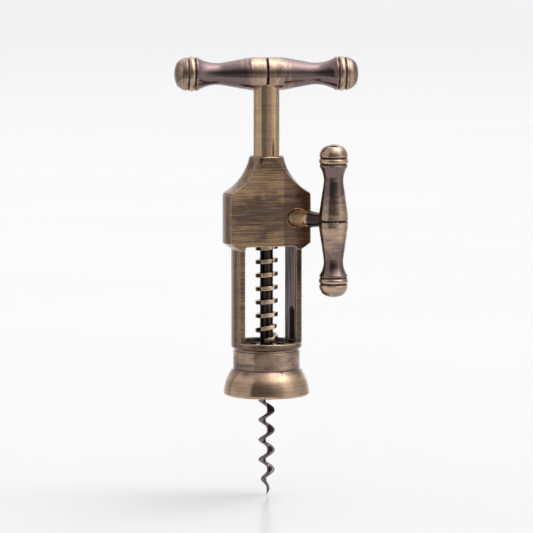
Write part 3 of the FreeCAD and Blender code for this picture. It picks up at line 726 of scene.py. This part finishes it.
@dataclass(frozen=True)
class MetalFinish:
    """A metal surface, plated brown and then polished where it can be reached.

    Attributes:
        name: the material's name.
        metal: the colour where it is polished.
        brown: the colour where the plating is left.
        bare_and_glint: the colour of scratches, and of bright edges that are partly worn metal and
            partly a painted highlight.
        grime_and_shade: the colour of dark specks and lines, and of the painted shade in hollows and
            deep places.
        plating: the colour inside, where no wheel can reach.
        inner_metal: how far that plating still reflects as metal, from 0 to 1.
        inner_shine: how strongly the rest of it shines, from 0 to 1.
        metal_gloss: the roughness of the polished metal.
        brown_gloss: the roughness of the plating.
        lacquer: the weight of the clear coat.
        lacquer_gloss: the roughness of the clear coat.
        polish: where the polishing reached.
        grain: how the surface was worked.
        pitch: the fineness of the grain in lines a metre.
        relief: the depth of the grain in metres.
        streaks: how far the grain holds brown in its lines, from 0 to 1.
        smooth_share: the part of the streaks that stays where nothing is ground flat.
        drawn: how far long lines along the axis hold brown, from 0 to 1.
        clouds: how far brown clouds cover the metal, from 0 to 1.
        cloud_scale: the fineness of the clouds, in clouds a metre.
        mottle: how far fine mottling covers the metal.
        specks: how dark the small specks are.
        scratches: how bright the scratches are.
        wear_and_glint: how bright the edges turn, partly as worn metal and partly as a painted
            highlight, from 0 to 1.
        edge: the width of the bright edges in metres.
        hollow: how deep a hollow is that gets painted shade, in metres.
        hollow_shade: how strongly the painted shade darkens the hollows, from 0 to 1.
    """

    name: str
    metal: Colour
    brown: Colour = (0.175, 0.122, 0.112)
    bare_and_glint: Colour = (0.80, 0.62, 0.43)
    grime_and_shade: Colour = (0.022, 0.013, 0.012)
    plating: Colour = (0.06, 0.042, 0.042)
    inner_metal: float = 1.0
    inner_shine: float = 0.5
    metal_gloss: float = 0.17
    brown_gloss: float = 0.14
    lacquer: float = 0.3
    lacquer_gloss: float = 0.07
    polish: Polish = ALL_OVER
    grain: Grain = Grain.TURNED
    pitch: float = 2600.0
    relief: float = 0.000004
    streaks: float = 0.25
    smooth_share: float = 1.0
    drawn: float = 0.0
    clouds: float = 0.2
    cloud_scale: float = 90.0
    mottle: float = 0.12
    specks: float = 0.7
    scratches: float = 0.14
    wear_and_glint: float = 0.7
    edge: float = 0.00035
    hollow: float = 0.0018
    hollow_shade: float = 0.85

    def dress(self, *names: str, bearing: Bearing = UPRIGHT) -> None:
        """Puts this finish on pieces of the frame.

        Args:
            names: the names of their nodes.
            bearing: where their axis lies.
        """
        turn = [math.radians(angle) for angle in bearing.turn]
        for piece in (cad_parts[name] for name in names):
            material = bpy.data.materials.new(f"{self.name} {piece.name}")
            material.use_nodes = True
            bench = NodeBench(material.node_tree)
            place = bench.node("ShaderNodeTexCoord").outputs["Object"]
            laid = bench.node("ShaderNodeMapping", vector_type="TEXTURE")
            bench.fill(laid, Vector=place, Location=bearing.origin, Rotation=turn)
            self.wire(bench, material.node_tree.nodes["Principled BSDF"], laid.outputs[0])
            piece.data.materials.clear()
            piece.data.materials.append(material)
            LOG.info("%s is dressed in %s", piece.name, self.name)

    def wire(self, bench: NodeBench, shader: Node, local: Source) -> None:
        """Joins the effects to the shader.

        Args:
            bench: the material's nodes.
            shader: its Principled BSDF.
            local: the place on the piece, seen from its own axis.
        """
        surface = self.survey(bench, local)
        shown = self.bared(bench, surface)
        inside = surface.masks.inside
        bench.fill(
            shader,
            Base_Color=self.tint(bench, surface, shown),
            Roughness=self.dullness(bench, surface, shown),
            Metallic=bench.between(inside, 1.0, self.inner_metal),
            Specular_IOR_Level=self.inner_shine,
            Coat_Weight=bench.between(inside, self.lacquer, 0.0),
            Coat_Roughness=self.lacquer_gloss,
            Normal=self.carved(bench, surface),
        )

    def survey(self, bench: NodeBench, local: Source) -> Surface:
        """Lays the effects on a piece.

        Args:
            bench: the material's nodes.
            local: the place on the piece.

        Returns:
            The effects.
        """
        def lay(effect: Effect, **sizes: float) -> Outputs:
            """Lays one shared effect on the piece."""
            return SHELF.place(bench, effect, Vector=local, **sizes).outputs

        x, y, z = bench.parts(local)
        drawn = bench.join(x, y, bench.times(z, AGEING.line_stretch))
        return Surface(
            masks=self.polish.masks(bench, local),
            grain=lay(self.grain.value, Pitch=self.pitch),
            patina=lay(Effect.PATINA, Scale=self.cloud_scale),
            worn=lay(Effect.EDGE_WEAR_GLINT_AND_SHADE, Width=self.edge, Depth=self.hollow),
            scratch=lay(Effect.SCRATCHES)["Scratch"],
            lines=bench.span(bench.noise(drawn, AGEING.line_scale), *AGEING.line_cover),
        )

    def bared(self, bench: NodeBench, surface: Surface) -> Socket:
        """Works out how far the polished metal shows through the brown.

        Args:
            bench: the material's nodes.
            surface: the effects on the piece.

        Returns:
            The share of metal, from 0 to 1.
        """
        ground = surface.masks.ground
        held = bench.between(ground, self.streaks * self.smooth_share, self.streaks)
        loss = bench.times(surface.grain["Tone"], held)
        loss = bench.plus(loss, bench.times(surface.patina["Cloud"], self.clouds))
        loss = bench.plus(loss, bench.times(surface.patina["Mottle"], self.mottle))
        drawn = bench.times(surface.lines, bench.between(ground, self.drawn, 0.0))
        return bench.step("SUBTRACT", surface.masks.metal, bench.plus(loss, drawn), clamp=True)

    def tint(self, bench: NodeBench, surface: Surface, shown: Source) -> Socket:
        """Mixes the colour of the piece.

        Args:
            bench: the material's nodes.
            surface: the effects on the piece.
            shown: how far the metal shows.

        Returns:
            The colour.
        """
        colour = bench.blend(shown, self.brown, self.metal)
        deep = bench.blend(surface.lines, self.grime_and_shade, self.plating)
        colour = bench.blend(surface.masks.inside, colour, deep)
        # Painted shade: the deep inner faces of the legs turn black.
        colour = bench.blend(surface.masks.recess, colour, self.grime_and_shade)
        colour = bench.blend(bench.times(surface.patina["Speck"], self.specks), colour, self.grime_and_shade)
        # Painted shade: the hollows that the ambient occlusion finds are darkened.
        colour = bench.blend(bench.times(surface.worn["Hollow"], self.hollow_shade), colour, self.grime_and_shade)
        # Edges turn bright, partly as worn metal and partly as a painted highlight; the scratches are
        # real marks.
        rubbed = bench.times(surface.worn["Edge"], self.wear_and_glint)
        rubbed = bench.larger(rubbed, bench.times(surface.scratch, self.scratches))
        return bench.blend(rubbed, colour, self.bare_and_glint)

    def dullness(self, bench: NodeBench, surface: Surface, shown: Source) -> Socket:
        """Works out the roughness: hollows, ground faces and bores are duller.

        Args:
            bench: the material's nodes.
            surface: the effects on the piece.
            shown: how far the metal shows.

        Returns:
            The roughness.
        """
        masks = surface.masks
        dull = bench.between(shown, self.brown_gloss, self.metal_gloss)
        for mask, matt in (
            (surface.worn["Hollow"], AGEING.hollow_matt),
            (masks.ground, AGEING.ground_matt),
            (masks.inside, bench.between(surface.lines, *AGEING.inside_matt)),
            (masks.recess, AGEING.recess_matt),
        ):
            dull = bench.plus(dull, bench.times(mask, matt))
        return dull

    def carved(self, bench: NodeBench, surface: Surface) -> Socket:
        """Cuts the grain, specks and scratches into the normal.

        Args:
            bench: the material's nodes.
            surface: the effects on the piece.

        Returns:
            The normal.
        """
        speck = bench.times(surface.patina["Speck"], AGEING.speck_depth)
        height = bench.minus(bench.minus(surface.grain["Height"], speck), surface.scratch)
        bump = bench.node("ShaderNodeBump")
        bench.fill(bump, Strength=1.0, Distance=self.relief)
        bench.fill(bump, Height=height, Normal=surface.worn["Normal"])
        return bump.outputs["Normal"]


BODY_BRONZE = MetalFinish(
    "ground bronze",
    metal=(0.56, 0.35, 0.19),
    brown=(0.13, 0.083, 0.063),
    plating=(0.21, 0.16, 0.155),
    inner_metal=0.0,
    inner_shine=0.06,
    polish=Polish(Effect.OUTSIDE, (("Flat", 0.47), ("Turned", 0.56))),
    drawn=0.3,
    grain=Grain.BRUSHED,
    streaks=0.68,
    smooth_share=0.17,
    clouds=0.12,
    edge=0.0007,
    wear_and_glint=0.9,
)
BELL_BRONZE = MetalFinish(
    "bell bronze",
    metal=(0.77, 0.525, 0.325),
    metal_gloss=0.13,
    polish=rubbed_ends(0.0092, 0.0140),
    wear_and_glint=0.6,
)
COLLAR_BRONZE = MetalFinish(
    "collar bronze",
    metal=(0.54, 0.38, 0.265),
    streaks=0.4,
    clouds=0.65,
    cloud_scale=100.0,
    wear_and_glint=0.6,
)
STEM_BRONZE = MetalFinish(
    "stem bronze",
    metal=(0.70, 0.475, 0.285),
    brown=(0.17, 0.112, 0.092),
    streaks=0.15,
    drawn=0.32,
    clouds=0.1,
    wear_and_glint=0.6,
)
HANDLE_BRONZE = MetalFinish(
    "handle bronze",
    metal=(0.60, 0.425, 0.28),
    brown=(0.17, 0.116, 0.117),
    brown_gloss=0.1,
    plating=(0.13, 0.078, 0.09),
    metal_gloss=0.25,
    polish=rubbed_handle(barrel=0.0040, waist=0.0175, lip=0.0331, groove=0.0078, seam=0.0009),
    streaks=0.2,
    clouds=0.38,
    cloud_scale=150.0,
    relief=0.0000025,
)
CRANK_BRONZE = replace(
    HANDLE_BRONZE,
    name="crank handle bronze",
    metal=(0.68, 0.49, 0.325),
    brown=(0.18, 0.122, 0.112),
    plating=(0.10, 0.06, 0.072),
    polish=rubbed_handle(barrel=0.0050, waist=0.0230, lip=0.0258, groove=0.0065, seam=0.0008),
)
RACK_BRONZE = MetalFinish(
    "rack bronze",
    metal=(0.84, 0.61, 0.42),
    brown=(0.11, 0.075, 0.07),
    grime_and_shade=(0.012, 0.007, 0.007),
    plating=(0.115, 0.08, 0.072),
    polish=Polish(Effect.CRESTS, (("Low", 0.0040), ("High", 0.0051), ("Deep", 0.0030))),
    streaks=0.1,
    hollow=0.004,
    hollow_shade=0.55,
)
# Painted light and shade: the metal colour is lifted far above the other bronzes to brighten the shaft
# where the flat shades it, and past 22.5 mm from the pinion, outside the body by the handle, the shaft
# turns a near-black brown as painted shade.
SHAFT_BRONZE_PAINTED_LIGHT_AND_SHADE = MetalFinish(
    "shaft bronze",
    metal=(0.98, 0.70, 0.43),
    brown=(0.05, 0.03, 0.028),
    streaks=0.1,
    clouds=0.1,
    polish=rubbed_ends(0.0205, 0.0225),
)
WASHER_BRASS = MetalFinish("washer brass", metal=(0.62, 0.47, 0.25), brown=(0.3, 0.2, 0.1), lacquer=0.0)
SPINDLE_STEEL = MetalFinish(
    "drawn steel",
    metal=(0.42, 0.40, 0.38),
    brown=(0.22, 0.19, 0.17),
    bare_and_glint=(0.72, 0.71, 0.69),
    lacquer=0.0,
)
WORM_STEEL = MetalFinish(
    "worm steel",
    metal=(0.19, 0.165, 0.165),
    brown=(0.14, 0.12, 0.12),
    bare_and_glint=(0.72, 0.68, 0.67),
    grime_and_shade=(0.015, 0.012, 0.012),
    metal_gloss=0.3,
    lacquer=0.0,
    streaks=0.2,
)
SCREW_STEEL = MetalFinish(
    "screw steel",
    metal=(0.40, 0.37, 0.34),
    brown=(0.2, 0.16, 0.13),
    bare_and_glint=(0.74, 0.72, 0.69),
    lacquer=0.0,
)


@dataclass
class Casting:
    """The body with its legs, the collar below them and the bell."""

    def make(self) -> None:
        """Dresses the body, the collar and the bell."""
        BODY_BRONZE.dress("frame")
        COLLAR_BRONZE.dress("foot_collar")
        BELL_BRONZE.dress("bell_foot")


@dataclass
class Rack:
    """The ringed rack that the pinion lifts."""

    def make(self) -> None:
        """Dresses the rack."""
        RACK_BRONZE.dress("rack_sleeve")


@dataclass
class Spindle:
    """The turning parts from the T-handle down to the worm.

    Attributes:
        handle_bearing: the axis of the T-handle.
    """

    handle_bearing: Bearing = Bearing((0.0, 0.0, 0.1517), (0.0, 90.0, -10.0))

    def make(self) -> None:
        """Dresses the stem, the rod, the boss, the worm and the T-handle."""
        STEM_BRONZE.dress("stem_sleeve")
        WASHER_BRASS.dress("upper_thrust_washer", "lower_thrust_washer")
        SPINDLE_STEEL.dress("spindle_rod", "worm_boss", "worm_boss_pin")
        SPINDLE_STEEL.dress("t_tie_stud", bearing=self.handle_bearing)
        WORM_STEEL.dress("worm")
        HANDLE_BRONZE.dress("t_grip_left", "t_grip_right", bearing=self.handle_bearing)


@dataclass
class Crank:
    """The crank shaft with its pinion, and the crank's handle.

    Attributes:
        shaft_bearing: the axis of the shaft, from the pinion outwards.
        handle_bearing: the axis of the handle.
    """

    shaft_bearing: Bearing = Bearing((0.006495, 0.00375, 0.084), (0.0, 90.0, 120.0))
    handle_bearing: Bearing = Bearing((0.0245, -0.0275, 0.084))

    def make(self) -> None:
        """Dresses the shaft, its end fastening and the handle."""
        SHAFT_BRONZE_PAINTED_LIGHT_AND_SHADE.dress("crank_shaft", bearing=self.shaft_bearing)
        SCREW_STEEL.dress("crank_end_washer", "crank_end_screw", bearing=self.shaft_bearing)
        SPINDLE_STEEL.dress("crank_tie_stud", bearing=self.handle_bearing)
        CRANK_BRONZE.dress("crank_grip_upper", "crank_grip_lower", bearing=self.handle_bearing)


@dataclass(frozen=True)
class Softbox:
    """A bright patch of the studio's sky.

    Attributes:
        azimuth: where its middle stands, in degrees from the front.
        elevation: how high its middle stands, in degrees.
        half_width: half its width, as a slope from its middle.
        half_height: half its height, as a slope from its middle.
        softness: the width of its fading rim.
        strength: its brightness, where 1 is white.
    """

    azimuth: float
    elevation: float
    half_width: float
    half_height: float
    softness: float
    strength: float

    def shine(self, bench: NodeBench, ray: Source) -> Socket:
        """Works out the light of this box along a ray.

        Args:
            bench: the world's nodes.
            ray: the direction of the ray.

        Returns:
            The brightness socket.
        """
        middle = direction(self.azimuth, self.elevation)
        across = Vector((0.0, 0.0, 1.0)).cross(middle).normalized()
        rise = middle.cross(across)
        ahead = bench.dot(ray, tuple(middle))
        depth = bench.larger(ahead, 0.001)
        mask = bench.span(ahead, 0.02, 0.12)
        for axis, half in ((across, self.half_width), (rise, self.half_height)):
            off = bench.step("ABSOLUTE", bench.over(bench.dot(ray, tuple(axis)), depth))
            mask = bench.times(mask, bench.past(off, half, -self.softness))
        return bench.times(mask, self.strength)


@dataclass(frozen=True)
class Panel:
    """A glowing stretch of wall, floor or ceiling round the set, with soft edges.

    Attributes:
        azimuth: where its middle stands, in degrees from the front.
        half_width: half of its width in degrees.
        side_blur: over how many degrees its sides fade.
        glow: its brightness, where 1 is white.
        bottom: the elevation of its lower edge in degrees; None if it has none.
        bottom_blur: over how many degrees that edge fades.
        top: the elevation of its upper edge in degrees; None if it has none.
        top_blur: over how many degrees that edge fades.
    """

    azimuth: float
    half_width: float
    side_blur: float
    glow: float
    bottom: Optional[float] = None
    bottom_blur: float = 30.0
    top: Optional[float] = None
    top_blur: float = 30.0

    def shine(self, bench: NodeBench, turn: Source, rise: Source) -> Socket:
        """Works out the panel's glow in one direction.

        Args:
            bench: the world's nodes.
            turn: the direction's azimuth in degrees.
            rise: its elevation in degrees.

        Returns:
            The brightness socket.
        """
        off = bench.step("FLOORED_MODULO", bench.plus(turn, 540.0 - self.azimuth), 360.0)
        off = bench.step("ABSOLUTE", bench.minus(off, 180.0))
        mask = bench.past(off, self.half_width, -self.side_blur)
        if self.bottom is not None:
            mask = bench.times(mask, bench.past(rise, self.bottom, self.bottom_blur))
        if self.top is not None:
            mask = bench.times(mask, bench.past(rise, self.top, -self.top_blur))
        return bench.times(mask, self.glow)


@dataclass(frozen=True)
class Surroundings:
    """What stands round the set, seen only in reflections; each panel adds to the ones before it.

    Attributes:
        gloom: the glow where no panel stands.
        backdrop: the pale paper behind the set.
        left_wall: the lit wall at the left, with a sharp near edge.
        right_wall: the wall at the front right, brightest at its middle.
        far_wall: the wall at the back right.
        table: the table top before the set.
        lamp_wall: the wall above the front right that the lamp lights.
        lamp_foot: the bright patch below the lamp.
        ceiling: the ceiling all round.
        lamp_ceiling: the ceiling over the lamp.
    """

    gloom: float = 0.135
    backdrop: Panel = Panel(177.0, 47.0, 37.0, 0.51)
    left_wall: Panel = Panel(-95.0, 35.0, 8.5, 0.49, top=48.0, top_blur=35.0)
    right_wall: Panel = Panel(38.0, 2.0, 106.0, 0.88, top=46.0, top_blur=8.0)
    far_wall: Panel = Panel(114.0, 74.0, 39.0, 0.41)
    table: Panel = Panel(15.0, 28.0, 160.0, 0.44, top=-0.6, top_blur=14.0)
    lamp_wall: Panel = Panel(34.0, 22.0, 106.0, 1.44, bottom=27.0, bottom_blur=27.0)
    lamp_foot: Panel = Panel(
        48.0, 13.0, 20.0, 0.48, bottom=16.0, bottom_blur=33.0, top=58.0, top_blur=7.0
    )
    ceiling: Panel = Panel(0.0, 181.0, 1.0, 1.68, bottom=62.0, bottom_blur=90.0)
    lamp_ceiling: Panel = Panel(69.0, 57.0, 132.0, 2.37, bottom=48.0, bottom_blur=34.0)

    def shine(self, bench: NodeBench, ray: Source) -> Socket:
        """Works out the glow along a ray.

        Args:
            bench: the world's nodes.
            ray: the direction of the ray.

        Returns:
            The brightness socket.
        """
        x, y, z = bench.parts(ray)
        degrees = math.degrees(1.0)
        turn = bench.times(bench.step("ARCTAN2", x, bench.times(y, -1.0)), degrees)
        rise = bench.times(bench.step("ARCSINE", z), degrees)
        glow = self.gloom
        for panel in (value for value in vars(self).values() if isinstance(value, Panel)):
            glow = bench.plus(glow, panel.shine(bench, turn, rise))
        return glow


@dataclass
class Studio:
    """The floor, the light and the camera.

    Attributes:
        azimuth: where the camera stands, in degrees from the front.
        elevation: how high it stands, in degrees.
        aim: the place that it looks at.
        distance: how far it stands from there, in metres.
        lens: its focal length in millimetres.
        sensor: the width of its sensor in millimetres.
        floor_size: the width of the floor in metres.
        floor_drop: how far the floor lies below the worm's point, in metres.
        floor_colour: the colour of the floor under the object.
        far_colour: the colour of the floor far away.
        far: the distances between which one turns into the other.
        cloudy: how far faint clouds bring the far colour near.
        floor_gloss: the floor's roughness.
        floor_shine: how strongly it shines.
        mirrored: the distances between which the floor ends in reflections.
        fill: the plain light from all sides, where 1 is white.
        key: the lamp.
        surroundings: what the metal reflects.
    """

    azimuth: float = -16.3
    elevation: float = 5.8
    aim: Place = (0.0, 0.0, 0.0607)
    distance: float = 1.559
    lens: float = 222.9
    sensor: float = 36.0
    floor_size: float = 60.0
    floor_drop: float = 0.0001
    floor_colour: Colour = (0.97, 0.965, 0.972)
    far_colour: Colour = (0.77, 0.765, 0.785)
    far: Range = (0.6, 7.0)
    cloudy: float = 0.1
    floor_gloss: float = 0.22
    floor_shine: float = 0.06
    mirrored: Range = (0.40, 0.45)
    fill: float = 0.585
    key: Softbox = Softbox(98.0, 56.0, 0.42, 0.42, 0.2, 3.2)
    surroundings: Surroundings = Surroundings()

    def make(self) -> None:
        """Sets up the floor, the light and the camera."""
        bpy.context.scene.view_settings.view_transform = "Standard"
        self.lay_floor()
        self.light_world()
        self.stand_camera()

    def lay_floor(self) -> None:
        """Lays the pale floor under the worm's point."""
        level = CAD_BOX[0].z - self.floor_drop
        bpy.ops.object.select_all(action="DESELECT")
        bpy.ops.mesh.primitive_plane_add(size=self.floor_size, location=(0.0, 0.0, level))
        floor = bpy.context.object
        floor.name = "studio_floor"
        floor.data.materials.append(self.floor_material())
        LOG.info("the floor lies at %.4f m", level)

    def floor_material(self) -> bpy.types.Material:
        """Mixes the floor's paper white, which reflections see only near the object.

        Returns:
            The floor's material.
        """
        material = bpy.data.materials.new("studio floor")
        material.use_nodes = True
        bench = NodeBench(material.node_tree)
        place = bench.node("ShaderNodeTexCoord").outputs["Object"]
        length = bench.node("ShaderNodeVectorMath", operation="LENGTH")
        bench.feed(length, 0, place)
        away = length.outputs["Value"]
        colour = bench.blend(bench.span(away, *self.far), self.floor_colour, self.far_colour)
        cloud = bench.span(bench.noise(place, 3.0, detail=2.0), 0.3, 0.7, 0.0, self.cloudy)
        paper = bench.fill(
            material.node_tree.nodes["Principled BSDF"],
            Base_Color=bench.blend(cloud, colour, self.far_colour),
            Roughness=self.floor_gloss,
            Specular_IOR_Level=self.floor_shine,
        )
        reflection = bench.node("ShaderNodeLightPath").outputs["Is Glossy Ray"]
        ending = bench.node("ShaderNodeMixShader")
        bench.feed(ending, 0, bench.times(reflection, bench.span(away, *self.mirrored)))
        bench.feed(ending, 1, paper.outputs[0])
        bench.feed(ending, 2, bench.node("ShaderNodeBsdfTransparent").outputs[0])
        bench.feed(material.node_tree.nodes["Material Output"], "Surface", ending.outputs[0])
        return material

    def light_world(self) -> None:
        """Paints the studio's sky: the fill and the lamp, and the surroundings in reflections."""
        world = bpy.data.worlds.new("studio sky")
        bpy.context.scene.world = world
        world.use_nodes = True
        bench = NodeBench(world.node_tree)
        ray = bench.node("ShaderNodeTexCoord").outputs["Generated"]
        plain = bench.larger(self.key.shine(bench, ray), self.fill)
        shine = self.surroundings.shine(bench, ray)
        reflection = bench.node("ShaderNodeLightPath").outputs["Is Glossy Ray"]
        sky = world.node_tree.nodes["Background"]
        bench.fill(sky, Color=opaque((1.0, 1.0, 1.0)), Strength=bench.between(reflection, plain, shine))

    def stand_camera(self) -> None:
        """Stands the camera in front, a little to the left and above."""
        data = bpy.data.cameras.new("studio camera")
        data.lens = self.lens
        data.sensor_width = self.sensor
        camera = bpy.data.objects.new("studio camera", data)
        bpy.context.scene.collection.objects.link(camera)
        back = direction(self.azimuth, self.elevation)
        camera.location = Vector(self.aim) + back * self.distance
        camera.rotation_mode = "QUATERNION"
        camera.rotation_quaternion = (-back).to_track_quat("-Z", "Y")
        bpy.context.scene.camera = camera


@dataclass
class Corkscrew:
    """The whole corkscrew, made of its sub-assemblies."""

    casting: Casting = field(default_factory=Casting)
    rack: Rack = field(default_factory=Rack)
    spindle: Spindle = field(default_factory=Spindle)
    crank: Crank = field(default_factory=Crank)

    def make(self) -> None:
        """Makes and dresses each sub-assembly in order."""
        for part in (self.casting, self.rack, self.spindle, self.crank):
            part.make()
            LOG.info("%s is ready", type(part).__name__)


def main() -> None:
    """Builds the studio and the corkscrew, and reports the pieces."""
    logging.basicConfig(level=logging.INFO, format="%(message)s")
    Studio().make()
    Corkscrew().make()
    LOG.info("%d nodes are dressed", len(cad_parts))


if __name__ == "__main__":
    main()
